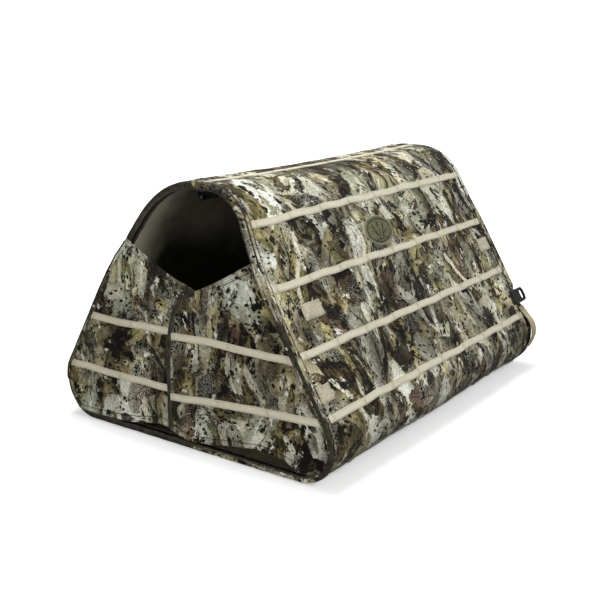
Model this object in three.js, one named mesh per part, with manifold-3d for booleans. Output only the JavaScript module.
// Pop up ground blind: two spring-steel hoops held apart by three knee-jointed
// stays, dressed in a fabric cover with doors at both ends.
// Millimetres, +Z up. Origin on the ground at the middle of the footprint.
// The front end faces -Y, +X is the right-hand side.

import * as THREE from 'three';
import { mergeVertices } from 'three/addons/utils/BufferGeometryUtils.js';
import Module from 'manifold-3d';

const wasm = await Module();
wasm.setup();

// ------------------------------------------------------- shared dimensions
const HEIGHT = 563.5;          // overall height of the hoop outline
const BASE_HALF = 434;         // half width where the slanted sides would meet the ground
const TOP_HALF = 100.8;        // half width where they would meet the top line
const R_BOTTOM = 83.3;         // outline corner radius at the ground
const R_TOP = 139.7;           // outline corner radius at the roof
const HOOP_Y = 463;            // hoop wire plane, front at -HOOP_Y, rear at +HOOP_Y
const WIRE_R = 2.5;            // spring-steel wire radius
const WIRE_IN = 8;             // wire centre inside the outline
const BOW_FROM = 300;          // the front hoop leans back above this height
const BOW_RATE = 0.00079;      // bow = rate * (z - from)^2
const BIND_DEPTH = 16;         // hoop binding depth inwards from the outline
const WEB_W = 16;              // webbing strap width
const WEB_T = 1.6;             // webbing thickness
const GAP = 0.35;              // clearance between neighbouring pieces

const ENDS = ['front', 'rear'];
const SIDES = ['right', 'left'];

// ---------------------------------------------------------------- materials
function material({ color, roughness, metalness = 0 }) {
  return new THREE.MeshStandardMaterial({ color, roughness, metalness });
}
const camo = () => material({ color: 0x8c8567, roughness: 0.92 });
const trim = () => material({ color: 0x3a3a30, roughness: 0.9 });
const groundCloth = () => material({ color: 0x6f6a52, roughness: 0.95 });
const tabFabric = () => material({ color: 0xc2b795, roughness: 0.9 });
const patchFabric = () => material({ color: 0x3d4030, roughness: 0.9 });
const webbing = () => material({ color: 0xb5a988, roughness: 0.85 });
const steel = () => material({ color: 0x5b5d60, roughness: 0.45, metalness: 0.9 });
const alloy = () => material({ color: 0x9a9da0, roughness: 0.4, metalness: 0.85 });
const plastic = () => material({ color: 0x17171a, roughness: 0.5 });

const root = new THREE.Group();
root.name = 'pop_up_ground_blind';

function add(name, geometry, mat, matrix) {
  const mesh = new THREE.Mesh(geometry, mat);
  mesh.name = name;
  if (matrix) mesh.applyMatrix4(matrix);
  root.add(mesh);
}

// ------------------------------------------------------------- hoop outline
// Unit vectors in the XZ plane: up the right side, and outwards from it.
const SIDE = new THREE.Vector2(TOP_HALF - BASE_HALF, HEIGHT).normalize();
const NORM = new THREE.Vector2(SIDE.y, -SIDE.x);
const SIDE_TILT = Math.atan2(NORM.y, NORM.x);

// centre of a corner circle at height z that touches the right side from inside
function cornerCentre(z, radius) {
  return new THREE.Vector2(BASE_HALF + (-radius - NORM.y * z) / NORM.x, z);
}
const LOW_CENTRE = cornerCentre(R_BOTTOM, R_BOTTOM);
const TOP_CENTRE = cornerCentre(HEIGHT - R_TOP, R_TOP);
const SIDE_FOOT = LOW_CENTRE.clone().addScaledVector(NORM, R_BOTTOM);
const SIDE_HEAD = TOP_CENTRE.clone().addScaledVector(NORM, R_TOP);

// outline lengths where the bottom corner, side, roof corner and roof line begin
const LOW_START = LOW_CENTRE.x;
const SIDE_START = LOW_START + R_BOTTOM * (Math.PI / 2 + SIDE_TILT);
const TOP_START = SIDE_START + SIDE_FOOT.distanceTo(SIDE_HEAD);
const ROOF_START = TOP_START + R_TOP * (Math.PI / 2 - SIDE_TILT);
const HALF = ROOF_START + TOP_CENTRE.x;
const FULL = 2 * HALF;

function onCorner(centre, radius, angle) {
  const nx = Math.cos(angle);
  const nz = Math.sin(angle);
  return { x: centre.x + radius * nx, z: centre.y + radius * nz, nx, nz };
}

// Point and outward normal at outline length s, from the bottom centre, up the
// right side, over the roof and down the left side.
function outline(length) {
  const s = ((length % FULL) + FULL) % FULL;
  if (s > HALF) {
    const twin = outline(FULL - s);
    return { x: -twin.x, z: twin.z, nx: -twin.nx, nz: twin.nz };
  }
  if (s <= LOW_START) return { x: s, z: 0, nx: 0, nz: -1 };
  if (s <= SIDE_START) {
    return onCorner(LOW_CENTRE, R_BOTTOM, -Math.PI / 2 + (s - LOW_START) / R_BOTTOM);
  }
  if (s <= TOP_START) {
    const point = SIDE_FOOT.clone().addScaledVector(SIDE, s - SIDE_START);
    return { x: point.x, z: point.y, nx: NORM.x, nz: NORM.y };
  }
  if (s <= ROOF_START) {
    return onCorner(TOP_CENTRE, R_TOP, SIDE_TILT + (s - TOP_START) / R_TOP);
  }
  return { x: HALF - s, z: HEIGHT, nx: 0, nz: 1 };
}

// point at outline length s, moved outwards from the outline, at depth y
function offOutline(s, out, y) {
  const at = outline(s);
  return new THREE.Vector3(at.x + at.nx * out, y, at.z + at.nz * out);
}

// right-side outline length whose point, moved inwards by inset, lies at height z
function lengthAtHeight(z, inset) {
  let low = LOW_START;
  let high = HALF;
  for (let i = 0; i < 60; i++) {
    const middle = (low + high) / 2;
    if (offOutline(middle, -inset, 0).z < z) low = middle;
    else high = middle;
  }
  return (low + high) / 2;
}

const bow = (z) => (z > BOW_FROM ? BOW_RATE * (z - BOW_FROM) ** 2 : 0);
const hoopY = (end, z) => (end === 'front' ? -HOOP_Y + bow(z) : HOOP_Y);

const CORNER_STEP = 20;
const BOTTOM_STEP = 1000;      // longer than the bottom line, so it stays in one piece

// outline lengths from one place to another; sideStep holds on the sides and roof
function stops(from, to, sideStep) {
  // where each span ends, and the longest step on it
  const spans = [
    [LOW_START, BOTTOM_STEP], [SIDE_START, CORNER_STEP], [TOP_START, sideStep],
    [ROOF_START, CORNER_STEP], [HALF, sideStep], [FULL - ROOF_START, sideStep],
    [FULL - TOP_START, CORNER_STEP], [FULL - SIDE_START, sideStep],
    [FULL - LOW_START, CORNER_STEP], [FULL, BOTTOM_STEP],
  ];
  const lengths = [from];
  let spanStart = 0;
  for (const [spanEnd, step] of spans) {
    const start = Math.max(from, spanStart);
    const end = Math.min(to, spanEnd);
    spanStart = spanEnd;
    if (end - start < 1e-6) continue;
    const count = Math.max(1, Math.ceil((end - start) / step));
    for (let i = 1; i <= count; i++) lengths.push(start + ((end - start) * i) / count);
  }
  return lengths;
}

// stations shared by everything that follows the whole hoop
const RING = stops(0, FULL, 40).slice(0, -1);

// shared stations between two places, without any closer than 3 mm to the ends
const ringBetween = (from, to) => [from, ...RING.filter((s) => s > from + 3 && s < to - 3), to];

// ------------------------------------------------------------ mesh building
// closed mesh with its faces turned outwards
function closed(vertices, triangles) {
  let volume = 0;
  for (const [a, b, c] of triangles) {
    volume += vertices[a].dot(vertices[b].clone().cross(vertices[c]));
  }
  const coords = vertices.flatMap((v) => [v.x, v.y, v.z]);
  const geometry = new THREE.BufferGeometry();
  geometry.setAttribute('position', new THREE.Float32BufferAttribute(coords, 3));
  geometry.setIndex(triangles.flatMap(([a, b, c]) => (volume < 0 ? [a, c, b] : [a, b, c])));
  return geometry;
}

// sweep of a cross-section polygon; place(s, p) puts section point p at station s
function sweep(section, stations, place, isRing) {
  const size = section.length;
  const vertices = stations.flatMap((s) => section.map((p) => place(s, p)));
  const triangles = [];
  const rows = isRing ? stations.length : stations.length - 1;
  for (let i = 0; i < rows; i++) {
    const here = i * size;
    const next = ((i + 1) % stations.length) * size;
    for (let j = 0; j < size; j++) {
      const k = (j + 1) % size;
      triangles.push([here + j, here + k, next + k], [here + j, next + k, next + j]);
    }
  }
  if (!isRing) {
    const flat = section.map((p) => new THREE.Vector2(...p));
    const last = (stations.length - 1) * size;
    for (const [a, b, c] of THREE.ShapeUtils.triangulateShape(flat, [])) {
      triangles.push([a, c, b], [last + a, last + b, last + c]);
    }
  }
  return closed(vertices, triangles);
}

// closed sheet between two surfaces; at(i, j, face) with face 0 and 1 the two surfaces
function slab(rows, columns, at) {
  const vertices = [];
  const triangles = [];
  const id = (i, j, k) => (k * (rows + 1) + i) * (columns + 1) + j;
  const quad = (a, b, c, d) => triangles.push([a, b, c], [a, c, d]);
  for (let k = 0; k < 2; k++) {
    for (let i = 0; i <= rows; i++) {
      for (let j = 0; j <= columns; j++) vertices.push(at(i, j, k));
    }
  }
  for (let i = 0; i < rows; i++) {
    for (let j = 0; j < columns; j++) {
      quad(id(i, j, 0), id(i + 1, j, 0), id(i + 1, j + 1, 0), id(i, j + 1, 0));
      quad(id(i, j, 1), id(i, j + 1, 1), id(i + 1, j + 1, 1), id(i + 1, j, 1));
    }
  }
  const lastI = rows;
  const lastJ = columns;
  for (let i = 0; i < rows; i++) {
    quad(id(i, 0, 0), id(i, 0, 1), id(i + 1, 0, 1), id(i + 1, 0, 0));
    quad(id(i, lastJ, 0), id(i + 1, lastJ, 0), id(i + 1, lastJ, 1), id(i, lastJ, 1));
  }
  for (let j = 0; j < columns; j++) {
    quad(id(0, j, 0), id(0, j + 1, 0), id(0, j + 1, 1), id(0, j, 1));
    quad(id(lastI, j, 0), id(lastI, j, 1), id(lastI, j + 1, 1), id(lastI, j + 1, 0));
  }
  return closed(vertices, triangles);
}

// geometry to manifold and back, for cutting and joining
function solid(geometry) {
  geometry.deleteAttribute('normal');
  geometry.deleteAttribute('uv');
  const merged = mergeVertices(geometry, 1e-4);
  return new wasm.Manifold(new wasm.Mesh({
    numProp: 3,
    vertProperties: Float32Array.from(merged.attributes.position.array),
    triVerts: Uint32Array.from(merged.index.array),
  }));
}

function geometryOf(manifold) {
  const mesh = manifold.getMesh();
  const coords = Array.from(mesh.vertProperties);
  const geometry = new THREE.BufferGeometry();
  geometry.setAttribute('position', new THREE.Float32BufferAttribute(coords, mesh.numProp));
  geometry.setIndex(Array.from(mesh.triVerts));
  return geometry;
}

function solidBox([x0, x1], [y0, y1], [z0, z1]) {
  const box = new THREE.BoxGeometry(x1 - x0, y1 - y0, z1 - z0);
  return solid(box.translate((x0 + x1) / 2, (y0 + y1) / 2, (z0 + z1) / 2));
}

const vectors = (points) => points.map(([x, y]) => new THREE.Vector2(x, y));
const around = (centre, half) => [centre - half, centre + half];

// -------------------------------------------------------------- steel hoops
const WIRE_SIDES = 6;
const WIRE_END = 0.5;          // each wire end stops this far from the bottom centre
const FERRULE = { bore: 2.9, outer: 4.2, half: 30 };
const BIND_HALF = 9;           // half width of the hoop binding along Y
const BIND_T = 1.5;            // binding fabric thickness

// section points are [inwards from the outline, Y from the hoop's own surface]
function hoopPlace(end) {
  return (s, [inwards, y]) => offOutline(s, -inwards, hoopY(end, outline(s).z) + y);
}

function addHoopWire(end) {
  const section = Array.from({ length: WIRE_SIDES }, (_, i) => {
    const angle = (2 * Math.PI * (i + 0.5)) / WIRE_SIDES;
    return [WIRE_IN + WIRE_R * Math.cos(angle), WIRE_R * Math.sin(angle)];
  });
  const stations = [WIRE_END, ...RING.slice(1), FULL - WIRE_END];
  add(`${end}_hoop`, sweep(section, stations, hoopPlace(end), false), steel());
}

// crimped sleeve that joins the two wire ends
function addFerrule(end) {
  const { bore, outer, half } = FERRULE;
  const profile = vectors([[bore, -half], [outer, -half], [outer, half], [bore, half], [bore, -half]]);
  const sleeve = new THREE.LatheGeometry(profile, 16).rotateZ(Math.PI / 2);
  add(`${end}_hoop_ferrule`, sleeve, alloy(),
    new THREE.Matrix4().makeTranslation(0, hoopY(end, 0), WIRE_IN));
}

// folded fabric binding: a channel open towards the inside
function addBinding(end) {
  const inner = BIND_HALF - BIND_T;
  const channel = [
    [0, -BIND_HALF], [0, BIND_HALF], [BIND_DEPTH, BIND_HALF], [BIND_DEPTH, inner],
    [BIND_T, inner], [BIND_T, -inner], [BIND_DEPTH, -inner], [BIND_DEPTH, -BIND_HALF],
  ];
  add(`${end}_hoop_binding`, sweep(channel, RING, hoopPlace(end), true), trim());
}

for (const end of ENDS) {
  addHoopWire(end);
  addFerrule(end);
  addBinding(end);
}

// -------------------------------------------------------------- fabric cover
const COVER_END = 453.4;       // cover ends here, next to the bindings
const COVER_IN = 1.6;          // cover's outer face inside the outline at its ends
const COVER_T = 2.0;           // cover thickness
const COVER_STEPS = 8;         // lengthwise divisions
const HEM_S = 361;             // outline length from the bottom centre to the hem
const SIDE_BULGE = 6;          // side panels belly out between the hoops
const RIDGE_SAG = 6;           // the ridge sags between the hoops
const FLOOR_JOIN = 0.5;        // between the floor's turned-up edge and the cover hem
const FLOOR_T = 2.4;
const STRAP_S = [890, 754, 613, 482]; // outline lengths of the side straps

// smooth rise from 0 to 1 over a run of outline
function fade(s, from, run) {
  const share = Math.min(1, Math.max(0, (s - from) / run));
  return share * share * (3 - 2 * share);
}

// outward swell of the cover at outline length s and lengthwise share t
function swell(s, t) {
  const near = s > HALF ? FULL - s : s;
  const side = fade(near, LOW_START + 60, 120) * (1 - fade(near, TOP_START, 60));
  const ridge = fade(near, TOP_START + 50, 90);
  return (SIDE_BULGE * side - RIDGE_SAG * ridge) * 4 * t * (1 - t);
}

const coverFront = (s) => -COVER_END + bow(outline(s).z);

// point at outline length s, lengthwise share t, distance out from the cover's outer face
function onCover(s, t, out) {
  const front = coverFront(s);
  return offOutline(s, out - COVER_IN + swell(s, t), front + (COVER_END - front) * t);
}

// point on the cover at a given Y
function onCoverAtY(s, y, out) {
  const front = coverFront(s);
  return onCover(s, (y - front) / (COVER_END - front), out);
}

function addCoverShell() {
  const stations = ringBetween(HEM_S, FULL - HEM_S);
  add('cover_shell', slab(stations.length - 1, COVER_STEPS,
    (i, j, k) => onCover(stations[i], j / COVER_STEPS, k ? -COVER_T : 0)), camo());
}

// the floor turns up round both bottom corners and meets the cover at its hems
function addFloor() {
  const right = ringBetween(LOW_START, HEM_S - FLOOR_JOIN);
  const stations = [...right.map((s) => -s).reverse(), ...right];
  add('floor_panel', slab(stations.length - 1, 1,
    (i, j, k) => offOutline(stations[i], k ? -FLOOR_T : 0, j ? COVER_END : -COVER_END)),
  groundCloth());
}

function addCoverStrap(name, s) {
  add(name, slab(2, COVER_STEPS, (i, j, k) =>
    onCover(s + (i / 2 - 0.5) * WEB_W, j / COVER_STEPS, k ? GAP : GAP + WEB_T)), webbing());
}

addCoverShell();
addFloor();
addCoverStrap('ridge_strap', HALF);
STRAP_S.forEach((s, i) => {
  addCoverStrap(`right_strap_${i + 1}`, s);
  addCoverStrap(`left_strap_${i + 1}`, FULL - s);
});

// hook and loop tabs that hold the opened doors back
const TAB_W = 34;
const TAB_T = 1.8;
// name, outline length on the right side, Y from, Y to
const TABS = [
  ['front_upper_tab', 691, -394, -331],
  ['front_lower_tab', 531, -452, -414],
  ['rear_upper_tab', 691, 392, 449],
];

function addTab(name, s, yFrom, yTo) {
  add(name, slab(2, 3, (i, j, k) => onCoverAtY(
    s + (i / 2 - 0.5) * TAB_W, yFrom + ((yTo - yFrom) * j) / 3, k ? GAP : GAP + TAB_T,
  )), tabFabric());
}

for (const side of SIDES) {
  for (const [name, s, yFrom, yTo] of TABS) {
    addTab(`${side}_${name}`, side === 'right' ? s : FULL - s, yFrom, yTo);
  }
}

// oval woven patch on the right side panel
const PATCH = { s: 806, y: -22, halfLength: 56, halfHeight: 36, thickness: 1.4, sides: 28 };

function addPatch() {
  const count = PATCH.sides;
  const vertices = [];
  const triangles = [];
  // each face: rim, ring at half size, centre
  for (const out of [GAP + PATCH.thickness, GAP]) {
    for (const size of [1, 0.5]) {
      for (let i = 0; i < count; i++) {
        const angle = (2 * Math.PI * i) / count;
        const s = PATCH.s + size * PATCH.halfHeight * Math.sin(angle);
        const y = PATCH.y + size * PATCH.halfLength * Math.cos(angle);
        vertices.push(onCoverAtY(s, y, out));
      }
    }
    vertices.push(onCoverAtY(PATCH.s, PATCH.y, out));
  }
  const under = 2 * count + 1; // first vertex of the inner face
  for (let i = 0; i < count; i++) {
    const j = (i + 1) % count;
    const face = [[i, j, count + j], [i, count + j, count + i], [count + i, count + j, 2 * count]];
    triangles.push(...face);
    triangles.push(...face.map(([a, b, c]) => [under + a, under + c, under + b]));
    triangles.push([i, under + i, under + j], [i, under + j, j]);
  }
  add('oval_side_patch', closed(vertices, triangles), patchFabric());
}
addPatch();

// --------------------------------------------------------------------- doors
// Outlines are [x, z] in the end plane of the front end.
const FLAP_T = 2.2;            // door fabric thickness
const FLAP_Y = 472.5;          // inner face of the doors
const FLAP_IN = 4;             // door edge inside the hoop outline
const FLAP_BOTTOM = 22;        // door bottom edge height
const DOOR_SIDE_STEP = 2000;   // longer than a side, so the straights stay in one piece
// heights where the doors' slanting top edges reach the hoop
const RIGHT_TOP_Z = 430;
const LEFT_TOP_Z = 435;
// edge of the right door where the two doors meet, from the top down
const MEET = [
  [31, 351], [10, 343], [-10, 329], [-27, 306],
  [-38, 280], [-46, 235], [-50, 150], [-51, FLAP_BOTTOM],
];
const MEET_GAP = 1.2;
const LEFT_MEET_TOP = [28.5, 350.8];
const FLAP_STRAP_Z = [252, 126];
const STRAP_HOOP_IN = 5;       // strap end inside the door's hoop edge
const STRAP_MEET_IN = { right: 8, left: 4 }; // strap end inside the right door's meeting edge

const doorLength = (z) => lengthAtHeight(z, FLAP_IN);

function hoopEdge(from, to) {
  return stops(from, to, DOOR_SIDE_STEP).map((s) => {
    const point = offOutline(s, -FLAP_IN, 0);
    return [point.x, point.z];
  });
}

const bottomLength = doorLength(FLAP_BOTTOM);
const leftMeet = [LEFT_MEET_TOP, ...MEET.slice(1).map(([x, z]) => [x - MEET_GAP, z])];
const DOORS = {
  right: [...hoopEdge(bottomLength, doorLength(RIGHT_TOP_Z)), ...MEET],
  left: [
    ...hoopEdge(FULL - doorLength(LEFT_TOP_Z), FULL - bottomLength),
    ...leftMeet.reverse(),
  ],
};

// plate in the XZ plane between two Y positions
function plate(points, yFrom, yTo) {
  const options = { depth: yTo - yFrom, bevelEnabled: false };
  const geometry = new THREE.ExtrudeGeometry(new THREE.Shape(vectors(points)), options);
  return geometry.rotateX(Math.PI / 2).translate(0, yTo, 0);
}

// half width of the door at a height, at the hoop side
const doorHalf = (z) => offOutline(doorLength(z), -FLAP_IN, 0).x;

// x of the right door's meeting edge at a height
function meetX(z) {
  const i = MEET.findIndex((point) => z >= point[1]);
  const [xBelow, zBelow] = MEET[i];
  const [xAbove, zAbove] = MEET[i - 1];
  return xBelow + ((z - zBelow) / (zAbove - zBelow)) * (xAbove - xBelow);
}

function strapOutline(side, z) {
  const [low, high] = around(z, WEB_W / 2);
  const hoopX = (height) => doorHalf(height) - STRAP_HOOP_IN;
  if (side === 'right') {
    const endX = (height) => meetX(height) + STRAP_MEET_IN.right;
    return [[hoopX(low), low], [hoopX(high), high], [endX(high), high], [endX(low), low]];
  }
  const endX = (height) => meetX(height) - STRAP_MEET_IN.left;
  return [[endX(low), low], [endX(high), high], [-hoopX(high), high], [-hoopX(low), low]];
}

function addDoor(name, side, turn) {
  const outerY = -FLAP_Y - FLAP_T;
  add(name, plate(DOORS[side], outerY, -FLAP_Y), camo(), turn);
  FLAP_STRAP_Z.forEach((z, i) => {
    const strap = plate(strapOutline(side, z), outerY - GAP - WEB_T, outerY - GAP);
    add(`${name}_strap_${i + 1}`, strap, webbing(), turn);
  });
}

// the rear doors are the front ones turned half round, so left and right swap
const halfTurn = new THREE.Matrix4().makeRotationZ(Math.PI);
for (const side of SIDES) addDoor(`front_${side}_door`, side);
for (const side of SIDES) {
  addDoor(`rear_${side === 'right' ? 'left' : 'right'}_door`, side, halfTurn);
}

// ------------------------------------------------------------- folding stays
// In a stay's own frame X runs across the links and Y along the stay.
const PIN_SPAN = 860;          // between the end pins of each stay
const PIN_IN = 31;             // ridge pin distance inside the outline
const BASE_STAY_Z = 150;       // height on the outline of the base stays
const BASE_STACK_IN = PIN_IN - 12.6; // start of the base stays' stack inside the outline
const RIDGE_STACK_X = -7.3;    // start of the ridge stay's stack
const RIDGE_PIN_BACK = 6;      // ridge front pin behind the hoop wire
const LINK_W = 14;
const LINK_T = 3;
const LUG_T = 4;
const LINK_GAP = 0.4;          // between neighbouring links and lugs
const BASE_LUG_W = 17;
const RIDGE_LUG_W = 16;
const PIN_R = 2.0;
const HEAD_R = 4;              // rivet head radius
const HEAD_T = 1.5;            // rivet head thickness
const HOLE_R = 2.3;
const TUNNEL_R = WIRE_R + 0.5;
const GRIP_HALF = 7;           // half length of the bracket block along Y
const GRIP_IN = 3.2;           // block's outer face inside the outline

// flat bar with round ends in the stay's YZ plane, across the X range
function bar(yFrom, yTo, width, [x0, x1], { holes = [], curveSegments = 8 } = {}) {
  const shape = new THREE.Shape();
  shape.absarc(yTo, 0, width / 2, -Math.PI / 2, Math.PI / 2, false);
  shape.absarc(yFrom, 0, width / 2, Math.PI / 2, (3 * Math.PI) / 2, false);
  shape.closePath();
  for (const y of holes) {
    const path = new THREE.Path();
    path.absarc(y, 0, HOLE_R, 0, 2 * Math.PI, true);
    shape.holes.push(path);
  }
  const options = { depth: x1 - x0, bevelEnabled: false, curveSegments };
  return new THREE.ExtrudeGeometry(shape, options).applyMatrix4(new THREE.Matrix4().set(
    0, 0, 1, x0,
    1, 0, 0, 0,
    0, 1, 0, 0,
    0, 0, 0, 1,
  ));
}

const link = (yFrom, yTo, range) =>
  bar(yFrom, yTo, LINK_W, range, { holes: [yFrom, yTo], curveSegments: 6 });

// rivet along X through everything from x0 to x1, with a head at each end
function rivet(x0, x1) {
  const from = x0 - GAP;
  const to = x1 + GAP;
  return new THREE.LatheGeometry(vectors([
    [0, from - HEAD_T], [HEAD_R, from - HEAD_T], [HEAD_R, from], [PIN_R, from],
    [PIN_R, to], [HEAD_R, to], [HEAD_R, to + HEAD_T], [0, to + HEAD_T],
  ]), 16).rotateZ(-Math.PI / 2);
}

const rod = (radius, length) => new THREE.CylinderGeometry(radius, radius, length, 16);
const pinHole = (x, y, z) => solid(rod(HOLE_R, 60).rotateZ(Math.PI / 2).translate(x, y, z));

// bracket(pin, wire, lug) makes the moulded piece that grips the hoop wire
function addStay(prefix, { stackX, pinZ, frontPin, frontWire, bracket, frame }) {
  const rearPin = frontPin + PIN_SPAN;
  const knee = (frontPin + rearPin) / 2;
  const frontLug = [stackX, stackX + LUG_T];
  const frontLinkX = frontLug[1] + LINK_GAP;
  const frontLink = [frontLinkX, frontLinkX + LINK_T];
  const rearLinkX = frontLink[1] + LINK_GAP;
  const rearLink = [rearLinkX, rearLinkX + LINK_T];
  const rearLug = [frontLink[1] - LUG_T, frontLink[1]];

  const put = (name, geometry, mat) => add(`${prefix}_${name}`, geometry, mat, frame);
  put('front_link', link(frontPin, knee, frontLink).translate(0, 0, pinZ), alloy());
  put('rear_link', link(knee, rearPin, rearLink).translate(0, 0, pinZ), alloy());
  put('knee_pin', rivet(frontLink[0], rearLink[1]).translate(0, knee, pinZ), steel());
  put('front_pin', rivet(frontLug[0], frontLink[1]).translate(0, frontPin, pinZ), steel());
  put('rear_pin', rivet(rearLug[0], rearLink[1]).translate(0, rearPin, pinZ), steel());
  put('front_bracket', bracket(frontPin, frontWire, frontLug), plastic());
  put('rear_bracket', bracket(rearPin, HOOP_Y, rearLug), plastic());
}

// X runs inwards from the outline, the wire tunnel runs along Z
function baseBracket(pin, wire, lug) {
  const block = solidBox([GRIP_IN, lug[1]], around(wire, GRIP_HALF), [-11, 11]);
  const arm = solid(bar(Math.min(wire, pin), Math.max(wire, pin), BASE_LUG_W, lug));
  const tunnel = solid(rod(TUNNEL_R, 80).rotateX(Math.PI / 2).translate(WIRE_IN, wire, 0));
  return geometryOf(block.add(arm).subtract(pinHole(20, pin, 0)).subtract(tunnel));
}

// base stays, just inside the side panels
function addBaseStay(side) {
  const length = lengthAtHeight(BASE_STAY_Z, 0);
  const at = outline(side === 'right' ? length : FULL - length);
  // X inwards, Z down the right panel or up the left one
  const frame = new THREE.Matrix4().makeBasis(
    new THREE.Vector3(-at.nx, 0, -at.nz),
    new THREE.Vector3(0, 1, 0),
    new THREE.Vector3(at.nz, 0, -at.nx),
  ).setPosition(at.x, 0, at.z);
  addStay(`${side}_stay`, {
    stackX: BASE_STACK_IN,
    pinZ: 0,
    frontPin: -PIN_SPAN / 2,
    frontWire: -HOOP_Y,
    bracket: baseBracket,
    frame,
  });
}

// In the blind's own axes: block on the wire, with a lug hanging down to the
// pin and a wire tunnel along X.
const RIDGE_PIN_Z = HEIGHT - PIN_IN;

function ridgeBracket(pin, wire, lug) {
  const block = solidBox([-13, 13], around(wire, GRIP_HALF), [HEIGHT - 19, HEIGHT - GRIP_IN]);
  const lugY = [Math.min(pin, wire) - RIDGE_LUG_W / 2, Math.max(pin, wire) + RIDGE_LUG_W / 2];
  const web = solidBox(lug, lugY, [RIDGE_PIN_Z, HEIGHT - BIND_DEPTH - 0.5]);
  // nearly no straight between the round ends, so this is a disc round the pin
  const eye = solid(bar(pin - 0.01, pin + 0.01, RIDGE_LUG_W, lug).translate(0, 0, RIDGE_PIN_Z));
  const tunnel = rod(TUNNEL_R, 80).rotateZ(Math.PI / 2).translate(0, wire, HEIGHT - WIRE_IN);
  return geometryOf(block.add(web).add(eye)
    .subtract(pinHole(0, pin, RIDGE_PIN_Z))
    .subtract(solid(tunnel)));
}

// ridge stay on the middle plane under the roof
function addRidgeStay() {
  const frontWire = hoopY('front', HEIGHT);
  addStay('ridge_stay', {
    stackX: RIDGE_STACK_X,
    pinZ: RIDGE_PIN_Z,
    frontPin: frontWire + RIDGE_PIN_BACK,
    frontWire,
    bracket: ridgeBracket,
  });
}

for (const side of SIDES) addBaseStay(side);
addRidgeStay();

// ------------------------------------------------------ side-release buckle
// Built in a frame lying on the right side panel: X down the panel, Y along the
// blind, Z out from the panel. The plug slides out backwards.
const BUCKLE_S = 531;          // outline length of the buckle
const SOCKET_Z = [1.2, 13.2];
const PLUG_T = 5.6;
// [x, y] of the plug's -X half: shoulder, sprung prong, then half the tongue
const PLUG_HALF = [
  [-17.5, 463], [-14.6, 463], [-14.6, 451.7], [-15.1, 451.2], [-15.1, 446],
  [-13.6, 439], [-11.2, 439], [-10.8, 458], [-2.6, 461], [-2.2, 440],
];
// webbing ring: outer half width, start of its straight sides, corner height and radius
const LOOP = { half: 18.5, start: 470, cornerY: 484, radius: 12 };
const SLOT = { x: 4.5, y: 481.5, radius: 9.5 };

// hollow, open at the back, with side windows for the prongs
function socketGeometry() {
  const [inner, outer] = SOCKET_Z;
  const body = solidBox([-19, 19], [426, 462], SOCKET_Z);
  const cavity = solidBox([-15.5, 15.5], [430, 470], [inner + 2.4, outer - 2.4]);
  const windows = solidBox([-25, 25], [438, 452], [inner + 2.6, outer - 2.6]);
  return geometryOf(body.subtract(cavity).subtract(windows));
}

// base bar, tongue, two sprung prongs and a wide webbing ring
function plugGeometry() {
  const { half, start, cornerY, radius } = LOOP;
  const cornerX = half - radius;
  const mirrored = PLUG_HALF.map(([x, y]) => [-x, y]).reverse();
  const shape = new THREE.Shape(vectors([
    ...PLUG_HALF, ...mirrored, [half, start], [half, cornerY],
  ]));
  shape.absarc(cornerX, cornerY, radius, 0, Math.PI / 2, false);
  shape.lineTo(-cornerX, cornerY + radius);
  shape.absarc(-cornerX, cornerY, radius, Math.PI / 2, Math.PI, false);
  shape.lineTo(-half, start);
  shape.closePath();

  const slot = new THREE.Path();
  slot.absarc(SLOT.x, SLOT.y, SLOT.radius, -Math.PI / 2, Math.PI / 2, false);
  slot.absarc(-SLOT.x, SLOT.y, SLOT.radius, Math.PI / 2, (3 * Math.PI) / 2, false);
  slot.closePath();
  shape.holes.push(slot);

  const options = { depth: PLUG_T, bevelEnabled: false, curveSegments: 6 };
  const middle = (SOCKET_Z[0] + SOCKET_Z[1]) / 2;
  return new THREE.ExtrudeGeometry(shape, options).translate(0, 0, middle - PLUG_T / 2);
}

function addBuckle() {
  const at = outline(BUCKLE_S);
  const frame = new THREE.Matrix4().makeBasis(
    new THREE.Vector3(-SIDE.x, 0, -SIDE.y),
    new THREE.Vector3(0, 1, 0),
    new THREE.Vector3(at.nx, 0, at.nz),
  ).setPosition(at.x, 0, at.z);
  add('buckle_socket', socketGeometry(), plastic(), frame);
  add('buckle_plug', plugGeometry(), plastic(), frame);
}
addBuckle();

// closure strap: a loop of webbing standing off the rear right corner, both
// ends close over the rear hoop's binding
const CLOSURE = {
  from: 388,                   // outline lengths of its two ends
  to: 503,
  width: 25,
  edgeY: HOOP_Y - 12,          // front edge
  endOut: 0.7,                 // inner face off the outline at the ends
  rise: 10,                    // extra stand-off at the middle
  power: 1.3,                  // shapes the arch
  steps: 14,
};

function addClosureStrap() {
  const { from, to, width, edgeY, endOut, rise, power, steps } = CLOSURE;
  add('closure_strap', slab(2, steps, (i, j, k) => {
    const share = j / steps;
    const out = endOut + rise * Math.sin(Math.PI * share) ** power + (k ? 0 : WEB_T);
    return offOutline(from + (to - from) * share, out, edgeY + (i / 2) * width);
  }), webbing());
}
addClosureStrap();

export default root;
